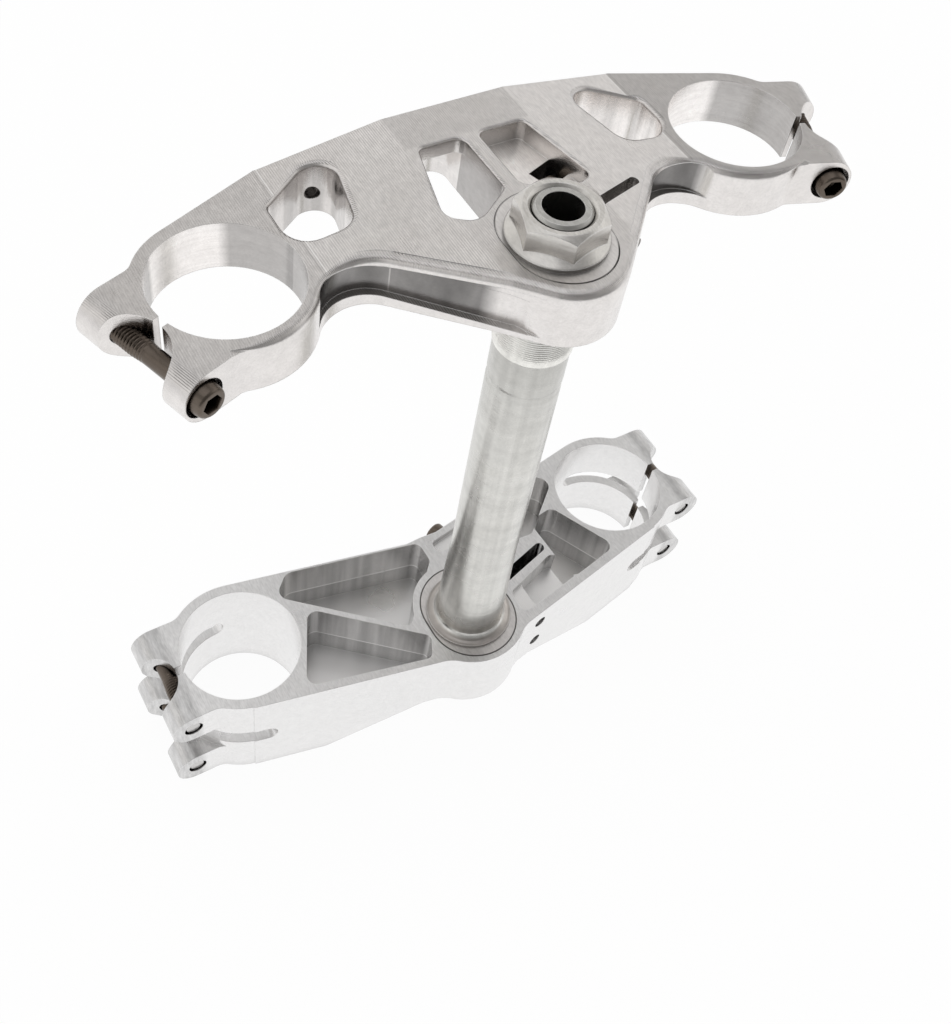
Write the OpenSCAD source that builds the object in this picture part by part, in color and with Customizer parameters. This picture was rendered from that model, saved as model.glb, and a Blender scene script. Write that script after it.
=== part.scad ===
// Motorcycle triple clamp: two billet fork clamps on one hollow steering stem.
// Millimetres. X runs across the forks, +Y points to the front wheel, +Z is up.
// The part stands on the flat undersides of the lower clamp's two fork rings.
// All parts are drawn from the plane through both fork tubes, then shifted
// together so that the origin lies under the middle of the whole assembly.

/* [Forks] */
// Distance between the two fork tubes, centre to centre
fork_spacing = 201; // [190:0.5:215]
// Diameter of the fork tube in the upper clamp
fork_bore_upper = 50; // [46:0.5:52]
// Diameter of the fork tube in the lower clamp
fork_bore_lower = 54; // [50:0.5:56]
// Distance of the fork tubes in front of the steering axis
fork_offset = 30.5; // [28:0.5:33]
// Height of the upper clamp's ring tops above the lower clamp's top
clamp_distance = 226; // [210:1:250]

/* [Upper clamp] */
// Height of the upper fork rings
upper_ring_height = 19; // [17:0.5:22]
// Rise of the middle plateau above the ring tops
plateau_rise = 7; // [4:0.5:9]
// Rise of the underside in the middle
under_rise = 3; // [0:0.5:4]
// Half width of the plateau
plateau_half = 24.5; // [22:0.5:28]
// Distance from the middle to the foot of each ramp
ramp_foot = 71; // [68:0.5:72]
// Wall of the upper fork rings
upper_ring_wall = 4.4; // [4:0.1:5.5]
// Front edge of the upper clamp, ahead of the fork plane
front_reach = 42.5; // [40:0.5:46]
// Distance from the middle to the corners of the front edge
front_corner = 72; // [68:1:76]
// Radius of the boss round the upper insert
upper_boss_radius = 21; // [21:0.5:24]
// Radius of the hollow between the boss and each fork ring
hollow_radius = 16; // [12:0.5:18]
// Depth of the scoop along each flank of the boss
flank_scoop = 3; // [1:0.5:4]

/* [Fork pinch joints] */
// Turn of the upper pinch bolts out of the straight-ahead direction
ear_turn = 19; // [10:1:24]
// Distance of the upper pinch bolts from the fork axis
upper_ear_reach = 31.5; // [31:0.5:34]
// Distance of the lower pinch bolts from the fork axis
lower_ear_reach = 32.5; // [32:0.5:35]
// Width of the saw cut through each fork ring
split_width = 4; // [2:0.5:5]
// Thread diameter of the pinch bolts
bolt_thread = 8; // [7:0.5:8]

/* [Lower clamp] */
// Depth of the lower clamp at the fork rings
lower_depth = 57; // [50:1:62]
// Depth of the lower clamp round the stem
lower_mid_depth = 36.5; // [34:0.5:40]
// Wall of the lower fork rings
lower_ring_wall = 4.4; // [4:0.1:5.5]
// Height of each clamping band of a lower fork ring at its ears
band_height = 19; // [16:0.5:21]
// Height of the cut between the two bands
band_cut = 9; // [6:0.5:11]
// Depth of the weight-saving pockets
pocket_depth = 30; // [20:1:31]
// Radius of the boss round the lower insert
lower_boss_radius = 27; // [26.5:0.5:29]

/* [Stem and inserts] */
// Diameter of the stem tube
stem_diameter = 28; // [26:0.5:28.5]
// Diameter of the lower bearing seat
bearing_seat = 30; // [29:0.5:31]
// Diameter of the thread that sets the bearings
bearing_thread = 29; // [28.5:0.5:29.5]
// Diameter of the bore through the stem
stem_bore = 14; // [10:0.5:16]
// Diameter of the stem's threaded top
stem_tip = 20; // [18:0.5:22]
// Across flats of the stem nut
nut_flats = 28; // [27:1:31]
// Width of the upper insert
upper_insert_width = 36; // [34:0.5:37]
// Length of the straight sides of the upper insert
upper_insert_straight = 8.4; // [4:0.2:9]
// Width of the lower insert
lower_insert_width = 41.4; // [40:0.2:42]
// Length of the straight sides of the lower insert
lower_insert_straight = 7; // [3:0.5:7]

/* [Quality] */
// Sides of every full circle
circle_sides = 72; // [48:4:120]

/* [Hidden] */
$fn = circle_sides;

// gap between parts that slide into each other
fit = 0.15;
// run of a cut past the face that it opens
past = 1;
// overlaps that keep arcs and straight edges crossing cleanly
bite = 0.05;
nip = 0.01;

// fork plane frame
half = fork_spacing / 2;
bore_u = fork_bore_upper / 2;
bore_l = fork_bore_lower / 2;
ring_u = bore_u + upper_ring_wall;
ring_l = bore_l + lower_ring_wall;
stem_y = -fork_offset;

// heights
low_top = lower_depth;
low_mid = lower_depth - lower_mid_depth;
up_top = low_top + clamp_distance;
up_low = up_top - upper_ring_height;
up_mid = up_top - upper_ring_height / 2;
deck = up_top + plateau_rise;
deck_low = up_low + under_rise;

// upper outline: boss, flanks at 45 degrees, hollows and rings
boss_y = stem_y - 7;
flank_k = upper_boss_radius * sqrt(2) - boss_y;
hollow_a = flank_k + hollow_radius * sqrt(2) - half;
hollow_y = (-hollow_a - sqrt(2 * pow(ring_u + hollow_radius, 2) - hollow_a * hollow_a)) / 2;
hollow_x = flank_k + hollow_radius * sqrt(2) + hollow_y;
hollow_to_flank = [hollow_x - hollow_radius * cos(45), hollow_y + hollow_radius * sin(45)];
hollow_to_ring = [hollow_x + (half - hollow_x) * hollow_radius / (ring_u + hollow_radius),
    hollow_y * ring_u / (ring_u + hollow_radius)];
flank_end = [upper_boss_radius * cos(45), boss_y - upper_boss_radius * sin(45)];
front_d = norm([front_corner - half, front_reach]);
front_a = atan2(front_reach, front_corner - half) - acos(ring_u / front_d);
front_touch = [half + (ring_u - nip) * cos(front_a), (ring_u - nip) * sin(front_a)];

// window and pockets of the upper clamp
window_front = front_reach - 6.8;
pocket_front = front_reach - 18.3;
through_front = front_reach - 6.5;
pocket_floor = up_top - 1;
rib = 3;
scoop_high = up_top - 1;
scoop_low = up_top - 13.8;
tapped_x = -53.8;
tapped_r = 2.6;
tapped_z = up_top - 9.8;

// upper ears, in the turned frame of each ring
ear_front = 23;
ear_rear = 24.5;
ear_r = upper_ring_height / 2;
ear_end = upper_ear_reach - 1.5;
ear_fillet = 7;
notch_r = 14.5;
notch_u = upper_ear_reach + 10;
notch_v = -1;
head_seat = 20;
head_height = 8;
head_r = 6.5;
head_top_r = 5.2;
head_room = 0.6;
bolt_r = bolt_thread / 2;
shank_r = bolt_r - 0.7;
socket_flats = 6;
socket_depth = 4.5;

// lower outline
l_front_slope = 11;
l_rear_slope = 11.7;
l_rear_out = 7.5;
l_ear_half = 24;
l_notch_r = 12;
l_notch_u = lower_ear_reach + 9.6;
l_ear_r = band_height / 2;
l_ear_fillet = 9;
l_seat = 18.5;
web_run = 4;
band_mid_low = (lower_depth - band_cut) / 2;
cut_end = -3;

// stem: foot pressed into the lower insert, collar under the bearing, wide lower bore
stem_foot = 16;
collar_cove = 4.5;
collar_edge = 1.2;
wide_bore = 120;

// slots that let the bosses pinch the inserts
pinch_turn_u = 19.2;
pinch_turn_l = 16.7;
pinch_width_u = 3.8;
pinch_width_l = 5;
upper_pinch_reach = 44.2;
lower_pinch_reach = 51;
u_bolt_out = 31;
l_bolt_out = 25.5;
u_bolt_z = up_top - 7.5;
head_out = 20.5;
l_head_out = 40;
l_bolt_high = low_top - 10;
l_bolt_low = low_top - 26.5;
u_grip = 13.8;
l_grip = 22;
u_insert_r = upper_insert_width / 2;
l_insert_r = lower_insert_width / 2;
insert_bolt_r = 3;
insert_head_r = 5;
insert_head_h = 6;

// shift that brings the middle of the whole assembly to the origin
rear_end = min(boss_y - upper_boss_radius, stem_y - lower_boss_radius);
mid_y = (front_reach + rear_end) / 2;

// children on the right side, or mirrored on the left
module on_side(s) {
    if (s > 0) translate([half, 0, 0]) children();
    else mirror([1, 0, 0]) translate([half, 0, 0]) children();
}

// convex outline with a true arc of its own radius at each corner [x, y, r]
module soft_outline(c) {
    n = len(c);
    p = [for (i = [0:n - 1]) [c[i][0], c[i][1]]];
    dir = [for (i = [0:n - 1]) let (d = p[(i + 1) % n] - p[i]) d / norm(d)];
    turn = [for (i = [0:n - 1]) let (a = dir[(i + n - 1) % n], b = dir[i])
        atan2(a[0] * b[1] - a[1] * b[0], a[0] * b[0] + a[1] * b[1])];
    back = [for (i = [0:n - 1]) c[i][2] * tan(turn[i] / 2)];
    polygon([for (i = [0:n - 1]) for (k = [0, 1])
        k == 0 ? p[i] - back[i] * dir[(i + n - 1) % n] : p[i] + back[i] * dir[i]]);
    for (i = [0:n - 1]) {
        a = dir[(i + n - 1) % n];
        q = p[i] - back[i] * a + c[i][2] * [-a[1], a[0]];
        translate(q) circle(r = c[i][2] + nip);
    }
}

// fills the corner between a ring of radius r and the edge v = e with an arc f
module ring_fillet(r, e, f) {
    c = [sqrt(pow(r + f - bite, 2) - pow(e + f - bite, 2)), e + f - bite];
    difference() {
        polygon([[0, 0], c, [c[0], 0]]);
        translate(c) circle(r = f);
    }
}

// rounded slot shape of width 2r whose ends lie at y +- half the straight length
module obround(r, straight) {
    translate([0, straight / 2]) circle(r = r);
    translate([0, -straight / 2]) circle(r = r);
    square([2 * r, straight], center = true);
}

// solid between two heights
module between(z0, z1) {
    translate([0, 0, z0]) linear_extrude(z1 - z0) children();
}

// bar along +Y from y0 to y1 with the given radius
module rod(r, y0, y1) {
    translate([0, y0, 0]) rotate([-90, 0, 0]) cylinder(r = r, h = y1 - y0);
}

// outline of the upper clamp without its ears
module upper_plan() {
    difference() {
        union() {
            polygon([[0, front_reach], [-front_corner, front_reach],
                [-front_touch[0], front_touch[1]], [-half, 0],
                [-hollow_to_ring[0], hollow_to_ring[1]],
                [-hollow_to_flank[0], hollow_to_flank[1]], [-flank_end[0], flank_end[1]],
                [0, boss_y], [flank_end[0], flank_end[1]],
                [hollow_to_flank[0], hollow_to_flank[1]],
                [hollow_to_ring[0], hollow_to_ring[1]], [half, 0],
                [front_touch[0], front_touch[1]], [front_corner, front_reach]]);
            translate([0, boss_y]) circle(r = upper_boss_radius + nip);
            translate([half, 0]) circle(r = ring_u);
            translate([-half, 0]) circle(r = ring_u);
        }
        for (s = [-1, 1]) translate([s * hollow_x, hollow_y])
            circle(r = hollow_radius + nip);
    }
}

// side section: level rings, ramps and a raised middle
module upper_section() {
    polygon([[-2 * half, up_low], [-ramp_foot, up_low], [-plateau_half, deck_low],
        [plateau_half, deck_low], [ramp_foot, up_low], [2 * half, up_low],
        [2 * half, up_top], [ramp_foot, up_top], [plateau_half, deck],
        [-plateau_half, deck], [-ramp_foot, up_top], [-2 * half, up_top]]);
}

module upper_ears() {
    rotate([0, 0, -ear_turn]) intersection() {
        between(up_low, up_top) {
            translate([0, -ear_rear])
                square([ear_end + ear_r, ear_rear + ear_front]);
            ring_fillet(ring_u, ear_front, ear_fillet);
            mirror([0, 1]) ring_fillet(ring_u, ear_rear, ear_fillet);
        }
        translate([0, -2 * ring_u, up_mid]) rotate([-90, 0, 0]) linear_extrude(4 * ring_u) {
            translate([0, -ear_r]) square([ear_end, 2 * ear_r]);
            translate([ear_end, 0]) circle(r = ear_r);
        }
    }
}

// split, notch between the ears and the holes of one upper pinch bolt
module upper_ear_cuts() {
    rotate([0, 0, -ear_turn]) {
        between(up_low - past, up_top + past) {
            translate([notch_u, notch_v]) circle(r = notch_r);
            translate([0, -split_width / 2]) square([upper_ear_reach, split_width]);
        }
        translate([upper_ear_reach, 0, up_mid]) {
            rod(bolt_r + fit, 0, ear_front - 2);
            rod(bolt_r + 2 * fit, -ear_rear - past, 0);
            rod(head_r + head_room, -ear_rear - past, -head_seat);
        }
    }
}

// weight-saving window beside each ring
module upper_windows() {
    window = [[46.8, window_front, 7.5], [53.3, 4.8, 7], [75.2, 4.8, 10],
        [75.2, window_front - 10.5, 4], [58.2, window_front, 6]];
    for (s = [0, 1]) mirror([s, 0, 0]) between(up_low - past, deck + past)
        soft_outline(window);
}

module right_pocket_plan() {
    soft_outline([[rib, pocket_front, 3], [rib, -3.5, 4], [7, -7, 4], [22, -11.5, 4],
        [28.5, -9, 4], [21.5, pocket_front, 3]]);
}

// left opening up to the given front edge; shared is its edge round the boss
module left_pocket_plan(corner, front, round_out, round_in) {
    shared = [[-28.5, -8, 7], [-21, -13.6, 6], [-16, -12.4, 4], [-6.5, -6.2, 3],
        [-rib, -3.5, 3]];
    soft_outline(concat([[corner, front, round_out]], shared, [[-rib, front, round_in]]));
}

module upper_pockets() {
    // left opening: it widens below its ledge and breaks right through
    between(pocket_floor, deck + past) left_pocket_plan(-20.2, pocket_front, 3, 4);
    between(up_low - past, up_top + past) left_pocket_plan(-22, through_front, 5, 6);
    // right pocket with a floor
    between(pocket_floor, deck + past) right_pocket_plan();
    // room for the head of the insert bolt
    between(u_bolt_z - insert_head_r - 0.8, deck) intersection() {
        right_pocket_plan();
        translate([0, stem_y]) rotate(pinch_turn_u)
            translate([u_bolt_out - insert_head_r - head_room, head_out])
                square([4 * insert_head_r, 9.5]);
    }
}

module pinch_slot(turn, width, reach) {
    translate([0, stem_y]) rotate(turn) {
        translate([0, -width / 2]) square([reach, width]);
        translate([reach, 0]) circle(r = width / 2);
    }
}

module upper_insert_cuts() {
    between(up_low - past, deck + past) {
        translate([0, stem_y]) obround(u_insert_r + fit, upper_insert_straight);
        pinch_slot(pinch_turn_u, pinch_width_u, upper_pinch_reach);
    }
    translate([0, stem_y, u_bolt_z]) rotate([0, 0, pinch_turn_u])
        translate([u_bolt_out, 0, 0]) {
            rod(insert_bolt_r + fit, -upper_boss_radius - 8, 1);
            rod(insert_bolt_r + 2 * fit, 0, head_out + 1);
        }
}

// scoops milled along both flanks, leaving a lip above and below
module flank_scoops() {
    run = norm(hollow_to_flank - flank_end);
    deep = flank_scoop * cos(25);
    start = 11;
    end_r = 8;
    for (s = [0, 1]) mirror([s, 0, 0]) between(scoop_low, scoop_high) {
        translate(flank_end) rotate(45) {
            translate([start, -flank_scoop]) square([run - start, flank_scoop + deep]);
            translate([start, deep - end_r]) circle(r = end_r);
        }
        translate([hollow_x, hollow_y] + flank_scoop * [cos(110), sin(110)])
            circle(r = hollow_radius);
    }
}

module upper_clamp() {
    color("gainsboro") difference() {
        union() {
            intersection() {
                between(up_low - past, deck + past) upper_plan();
                translate([0, 2 * half, 0]) rotate([90, 0, 0])
                    linear_extrude(4 * half) upper_section();
            }
            for (s = [-1, 1]) on_side(s) upper_ears();
        }
        flank_scoops();
        for (s = [-1, 1]) on_side(s) {
            translate([0, 0, up_low - past])
                cylinder(r = bore_u, h = upper_ring_height + 2 * past);
            upper_ear_cuts();
        }
        upper_windows();
        upper_pockets();
        upper_insert_cuts();
        // tapped hole in the front wall of the left window
        translate([tapped_x, front_reach + past, tapped_z]) rotate([90, 0, 0])
            cylinder(r = tapped_r, h = 14);
    }
}

// bush that holds the stem's top in the upper clamp
module upper_insert() {
    color("silver") difference() {
        between(deck_low, deck)
            translate([0, stem_y]) obround(u_insert_r, upper_insert_straight);
        translate([0, stem_y, deck_low - past])
            cylinder(d = stem_diameter - 2 + 2 * fit, h = deck - deck_low + 2 * past);
    }
}

module stem_nut() {
    nut_h = 12;
    flange_h = 1.4;
    cone_h = 3.6;
    flange_r = nut_flats / 2 + 3.5;
    corner_drop = 2.6;
    nut_turn = 13.6;
    rim = 1.2;
    flat_r = nut_flats / 2;
    hex_r = flat_r / cos(30);
    color("silver") translate([0, stem_y, deck]) difference() {
        union() {
            rotate_extrude() polygon([[0, 0], [flange_r, 0], [flange_r, flange_h],
                [flat_r, cone_h], [0, cone_h]]);
            intersection() {
                rotate([0, 0, nut_turn]) cylinder(r = hex_r, h = nut_h, $fn = 6);
                rotate_extrude() polygon([[0, 0], [hex_r + past, 0],
                    [hex_r + past, nut_h - corner_drop], [flat_r - 0.8, nut_h], [0, nut_h]]);
            }
        }
        translate([0, 0, -past]) cylinder(d = stem_tip + 2 * fit, h = nut_h + 2 * past);
        translate([0, 0, nut_h - rim])
            cylinder(d1 = stem_tip + 2 * fit, d2 = stem_tip + 2.7 * rim, h = rim + fit);
    }
}

module steering_stem() {
    tube = stem_diameter / 2;
    tip = stem_tip / 2;
    seat = bearing_seat / 2;
    thread = bearing_thread / 2;
    collar = seat + collar_cove;
    groove = up_top - 59.5;
    thread_end = up_top - 41;
    tip_end = deck + 12.2;
    color("lightgray") translate([0, stem_y, 0]) difference() {
        rotate_extrude() polygon([[0, low_mid], [stem_foot, low_mid], [stem_foot, low_top],
            [collar, low_top],
            for (a = [0:15:90]) [collar - collar_cove * sin(a),
                low_top + collar_edge + collar_cove * (1 - cos(a))],
            [seat, low_top + 20], [tube, low_top + 60],
            [tube, groove - 2.5], [tube - 0.4, groove - 1], [tube - 0.4, groove + 1],
            [tube, groove + 2.5], [tube, thread_end - 0.5], [thread, thread_end],
            [thread, deck_low], [tube - 1, deck_low], [tube - 1, deck],
            [tip, deck], [tip, tip_end - 1], [tip - 1, tip_end], [0, tip_end]]);
        translate([0, 0, low_mid - past])
            cylinder(d = stem_bore, h = tip_end - low_mid + 2 * past);
        translate([0, 0, low_mid - past]) cylinder(d = stem_bore + 8, h = wide_bore);
    }
}

module lower_insert() {
    color("silver") difference() {
        between(low_mid, low_top)
            translate([0, stem_y]) obround(l_insert_r, lower_insert_straight);
        translate([0, stem_y, low_mid - past])
            cylinder(r = stem_foot + fit, h = lower_mid_depth + 2 * past);
    }
}

// corners of the lower outline's right half
l_front_touch = [half - (ring_l - nip) * sin(l_front_slope),
    (ring_l - nip) * cos(l_front_slope)];
l_rear_touch = [half + l_rear_out, -31];
l_front_in = [8, l_front_touch[1] - (l_front_touch[0] - 8) * tan(l_front_slope)];
l_rear_in = [22, l_rear_touch[1] - (l_rear_touch[0] - 22) * tan(l_rear_slope)];

// distance of the rear edge's line from the stem axis
l_rear_gap = (stem_y - l_rear_touch[1] + l_rear_touch[0] * tan(l_rear_slope))
    * cos(l_rear_slope);

module lower_plan() {
    for (s = [0, 1]) mirror([s, 0]) {
        polygon([[0, l_front_in[1] + 0.4], l_front_in, l_front_touch, [half, 0],
            l_rear_touch, l_rear_in, [0, stem_y]]);
        translate([half, 0]) circle(r = ring_l);
        translate([0, stem_y]) rotate(l_rear_slope) mirror([0, 1])
            ring_fillet(lower_boss_radius, l_rear_gap, 18);
    }
    translate([0, stem_y]) circle(r = lower_boss_radius);
}

// arched underside: deep at the rings, shallow round the stem
module lower_section() {
    foot = half - 25.5;
    knee = lower_boss_radius + 2;
    polygon([[-2 * half, 0], [-foot, 0], [-knee, low_mid], [knee, low_mid], [foot, 0],
        [2 * half, 0], [2 * half, low_top], [-2 * half, low_top]]);
}

module lower_ears() {
    intersection() {
        between(0, low_top) {
            translate([0, -l_ear_half]) square([lower_ear_reach + l_ear_r, 2 * l_ear_half]);
            ring_fillet(ring_l, l_ear_half, l_ear_fillet);
            mirror([0, 1]) ring_fillet(ring_l, l_ear_half, l_ear_fillet);
        }
        translate([0, 2 * ring_l, 0]) rotate([90, 0, 0]) linear_extrude(4 * ring_l) {
            square([lower_ear_reach - l_ear_r - web_run, low_top]);
            for (z = [0, low_top - band_height]) {
                translate([0, z]) square([lower_ear_reach, band_height]);
                translate([lower_ear_reach, z + l_ear_r]) circle(r = l_ear_r);
            }
        }
    }
}

module lower_ear_cuts() {
    // saw cut and notch between the front and rear ears
    between(-past, low_top + past) {
        translate([l_notch_u, 0]) circle(r = l_notch_r);
        translate([0, -split_width / 2]) square([lower_ear_reach, split_width]);
    }
    // level cut that frees the two bands
    translate([0, 2 * ring_l, 0]) rotate([90, 0, 0]) linear_extrude(4 * ring_l) {
        translate([cut_end + band_cut / 2, band_mid_low])
            square([2 * ring_l, band_cut]);
        translate([cut_end + band_cut / 2, low_top / 2]) circle(r = band_cut / 2);
    }
    for (z = [l_ear_r, low_top - l_ear_r]) translate([lower_ear_reach, 0, z]) {
        rod(bolt_r + fit, -l_ear_half - past, 0);
        rod(bolt_r + 2 * fit, 0, l_ear_half + past);
        rod(head_r + head_room, l_seat, l_ear_half + past);
    }
}

module lower_pockets() {
    // outer ends and the walls in the middle
    ring_side = half - 34;
    outer = half - 24.5;
    rear_out = half - 17;
    web = 2.5;
    deep_shelf = 12;
    shelf = 3;
    between(low_top - pocket_depth, low_top + past) {
        // front pocket on the left, triangular, hollowed to follow the boss
        difference() {
            soft_outline([[-ring_side, 24.5, 6], [-outer, 15, 5], [-28, -26.2, 2.5],
                [-web, 1, 4], [-web, 12, 4]]);
            translate([0, stem_y + lower_insert_straight / 2])
                circle(r = l_insert_r + 3.4);
        }
        // rear pocket on the left, triangular
        soft_outline([[0.5 - ring_side, 3, 4.5], [-rear_out, -32, 4.5], [-27, -44.5, 3.5],
            [-22, -34.5, 3]]);
        // rear pocket on the right
        soft_outline([[52.5, -1, 5], [54, -37.8, 4], [rear_out, -31.5, 4.5],
            [ring_side + 0.5, 1.5, 5]]);
        // front pocket on the right
        soft_outline([[ring_side, 24.5, 6], [27, 16.5, 4], [27, -6, 4], [50, -7.5, 4],
            [outer, 15, 5]]);
    }
    // shelves that clear the insert bolts
    between(low_top - deep_shelf, low_top + past)
        soft_outline([[31, -28.5, 2], [31, -42.2, 3], [56, -37, 2], [54, -20.5, 4]]);
    between(low_top - shelf, low_top + past) {
        soft_outline([[23, -31, 4], [23, -43.5, 3.5], [36, -41, 2], [36, -27, 2]]);
        soft_outline([[rib, 9.5, 2.5], [rib, 3, 2.5], [29, 3, 2.5], [29, 14.5, 2.5]]);
    }
}

module lower_insert_cuts() {
    between(low_mid - past, low_top + past) {
        translate([0, stem_y]) obround(l_insert_r + fit, lower_insert_straight);
        pinch_slot(pinch_turn_l, pinch_width_l, lower_pinch_reach);
    }
    for (z = [l_bolt_high, l_bolt_low]) translate([0, stem_y, z])
        rotate([0, 0, pinch_turn_l]) translate([l_bolt_out, 0, 0]) {
            rod(insert_bolt_r + fit, -l_head_out, past);
            rod(insert_bolt_r + 2 * fit, 0, l_head_out + past);
            rod(insert_head_r + head_room, l_head_out, l_head_out + 20);
        }
}

module lower_clamp() {
    color("gainsboro") difference() {
        union() {
            intersection() {
                between(-past, low_top) lower_plan();
                translate([0, 2 * half, 0]) rotate([90, 0, 0])
                    linear_extrude(4 * half) lower_section();
            }
            for (s = [-1, 1]) on_side(s) lower_ears();
        }
        for (s = [-1, 1]) on_side(s) {
            translate([0, 0, -past]) cylinder(r = bore_l, h = low_top + 2 * past);
            lower_ear_cuts();
        }
        lower_pockets();
        lower_insert_cuts();
    }
}

// cap screw along +Y: its head sits behind y = 0, its thread ends at y = grip
module cap_screw(r, neck, head, head_top, height, plain, grip, flats, deep) {
    difference() {
        union() {
            rod(neck, -0.01, plain);
            rod(r, plain, grip);
            rotate([90, 0, 0]) cylinder(r1 = head, r2 = head_top, h = height);
        }
        translate([0, -height - past, 0]) rotate([-90, 0, 0])
            cylinder(r = flats / 2 / cos(30), h = deep + past, $fn = 6);
    }
}

module upper_pinch_bolt(s) {
    color("dimgray") on_side(s) rotate([0, 0, -ear_turn])
        translate([upper_ear_reach, -head_seat, up_mid])
        cap_screw(bolt_r, shank_r, head_r, head_top_r, head_height, head_seat,
            head_seat + ear_front - 4, socket_flats, socket_depth);
}

module lower_pinch_bolt(s, z) {
    color("dimgray") on_side(s) translate([lower_ear_reach, l_seat, z])
        mirror([0, 1, 0]) cap_screw(bolt_r, shank_r, head_r, head_top_r, head_height,
            l_seat, l_seat + l_ear_half - 0.6, socket_flats, socket_depth);
}

module insert_screw(grip) {
    cap_screw(insert_bolt_r, insert_bolt_r, insert_head_r, insert_head_r, insert_head_h,
        1, grip, 5, 3.2);
}

module upper_insert_bolt() {
    color("dimgray") translate([0, stem_y, u_bolt_z]) rotate([0, 0, pinch_turn_u])
        translate([u_bolt_out, head_out, 0]) mirror([0, 1, 0])
        insert_screw(head_out + u_grip);
}

module lower_insert_bolt(z) {
    color("dimgray") translate([0, stem_y, z]) rotate([0, 0, pinch_turn_l])
        translate([l_bolt_out, l_head_out, 0]) mirror([0, 1, 0])
        insert_screw(l_head_out + l_grip);
}

translate([0, -mid_y, 0]) {
    upper_clamp();
    upper_insert();
    stem_nut();
    steering_stem();
    lower_clamp();
    lower_insert();
    upper_pinch_bolt(-1);  // upper_pinch_bolt_left
    upper_pinch_bolt(1);  // upper_pinch_bolt_right
    upper_insert_bolt();
    lower_pinch_bolt(-1, low_top - l_ear_r);  // lower_pinch_bolt_left_top
    lower_pinch_bolt(-1, l_ear_r);  // lower_pinch_bolt_left_bottom
    lower_pinch_bolt(1, low_top - l_ear_r);  // lower_pinch_bolt_right_top
    lower_pinch_bolt(1, l_ear_r);  // lower_pinch_bolt_right_bottom
    lower_insert_bolt(l_bolt_high);  // lower_insert_bolt_top
    lower_insert_bolt(l_bolt_low);  // lower_insert_bolt_bottom
}
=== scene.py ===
"""Looks for the motorcycle triple clamp: machined edges, threads, bolts, metals, light."""

import math

import bmesh
import bpy
from mathutils import Matrix, Vector


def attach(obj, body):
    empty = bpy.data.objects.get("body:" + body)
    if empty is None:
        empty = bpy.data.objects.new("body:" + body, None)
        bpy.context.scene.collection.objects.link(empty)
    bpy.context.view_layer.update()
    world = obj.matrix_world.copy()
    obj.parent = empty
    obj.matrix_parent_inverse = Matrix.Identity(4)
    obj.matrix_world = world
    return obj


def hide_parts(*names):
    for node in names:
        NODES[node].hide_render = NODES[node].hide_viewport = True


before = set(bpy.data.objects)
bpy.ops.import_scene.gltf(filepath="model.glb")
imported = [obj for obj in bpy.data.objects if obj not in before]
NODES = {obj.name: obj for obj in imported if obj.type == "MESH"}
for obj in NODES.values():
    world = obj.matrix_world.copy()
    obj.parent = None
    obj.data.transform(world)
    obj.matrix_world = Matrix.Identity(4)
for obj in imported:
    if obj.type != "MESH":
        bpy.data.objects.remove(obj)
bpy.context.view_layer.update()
MM = 0.001

# sizes repeated from part.scad, in millimetres; the fork plane lies at SHIFT_Y along Y
SHIFT_Y = 8.0
HALF = 100.5
STEM_Y = -30.5
LOW_TOP = 57.0
UP_TOP = 283.0
DECK = 290.0
DECK_LOW = 267.0
PLATEAU = 24.5
RAMP = 71.0
FRONT = 42.5
RING_U = 29.4
BORE_U = 25.0
BORE_L = 27.0
BOSS_R = 21.0
BOSS_Y = -37.5
HOLLOW_R = 16.0
EAR_TURN = 19.0
EAR_REACH_U = 31.5
EAR_REACH_L = 32.5
SEAT_U = 20.0
SEAT_L = 18.5
BAND = 19.0
POCKET_DEPTH = 30.0
# outer walls of the lower clamp: slope, and place of the wall's line at the stem
REAR_RISE = 0.2071
REAR_AT_STEM = -31 - 108 * REAR_RISE
FRONT_RISE = 0.1944
FRONT_AT_STEM = 30.8 - 94.5 * FRONT_RISE
# rounding of the openings' rims, and rows of points in each turn of a thread
WINDOW_RIM = 1.8
POCKET_RIM = 1.1
ROWS_PER_TURN = 8

FLANK_K = BOSS_R * math.sqrt(2) - BOSS_Y
HOLLOW_A = FLANK_K + HOLLOW_R * math.sqrt(2) - HALF
HOLLOW_Y = (-HOLLOW_A - math.sqrt(2 * (RING_U + HOLLOW_R) ** 2 - HOLLOW_A * HOLLOW_A)) / 2
HOLLOW_X = FLANK_K + HOLLOW_R * math.sqrt(2) + HOLLOW_Y


def top_height(x):
    """Height of the upper clamp's top surface above a place x across it."""
    a = min(max((RAMP - abs(x)) / (RAMP - PLATEAU), 0.0), 1.0)
    return UP_TOP + a * (DECK - UP_TOP)


def place(x, y, z):
    """A point of the fork-plane frame, in the model's metres."""
    return Vector((x * MM, (y + SHIFT_Y) * MM, z * MM))


# mesh helpers

def new_piece(name, verts, faces, smooth, body="root"):
    """A mesh object from points and faces, smooth below an angle and riding on a body."""
    me = bpy.data.meshes.new(name)
    me.from_pydata([tuple(v) for v in verts], [], faces)
    bm = bmesh.new()
    bm.from_mesh(me)
    bmesh.ops.remove_doubles(bm, verts=bm.verts, dist=1e-7)
    bmesh.ops.recalc_face_normals(bm, faces=bm.faces)
    bm.to_mesh(me)
    bm.free()
    ob = bpy.data.objects.new(name, me)
    bpy.context.scene.collection.objects.link(ob)
    if smooth:
        me.shade_smooth()
        me.set_sharp_from_angle(angle=math.radians(smooth))
    if body:
        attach(ob, body)
    return ob


def grid_faces(rows, cols):
    """Faces of a rows x cols grid whose columns run round a ring."""
    out = []
    for i in range(rows - 1):
        for j in range(cols):
            k = (j + 1) % cols
            out.append((i * cols + j, i * cols + k, (i + 1) * cols + k, (i + 1) * cols + j))
    return out


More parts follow.
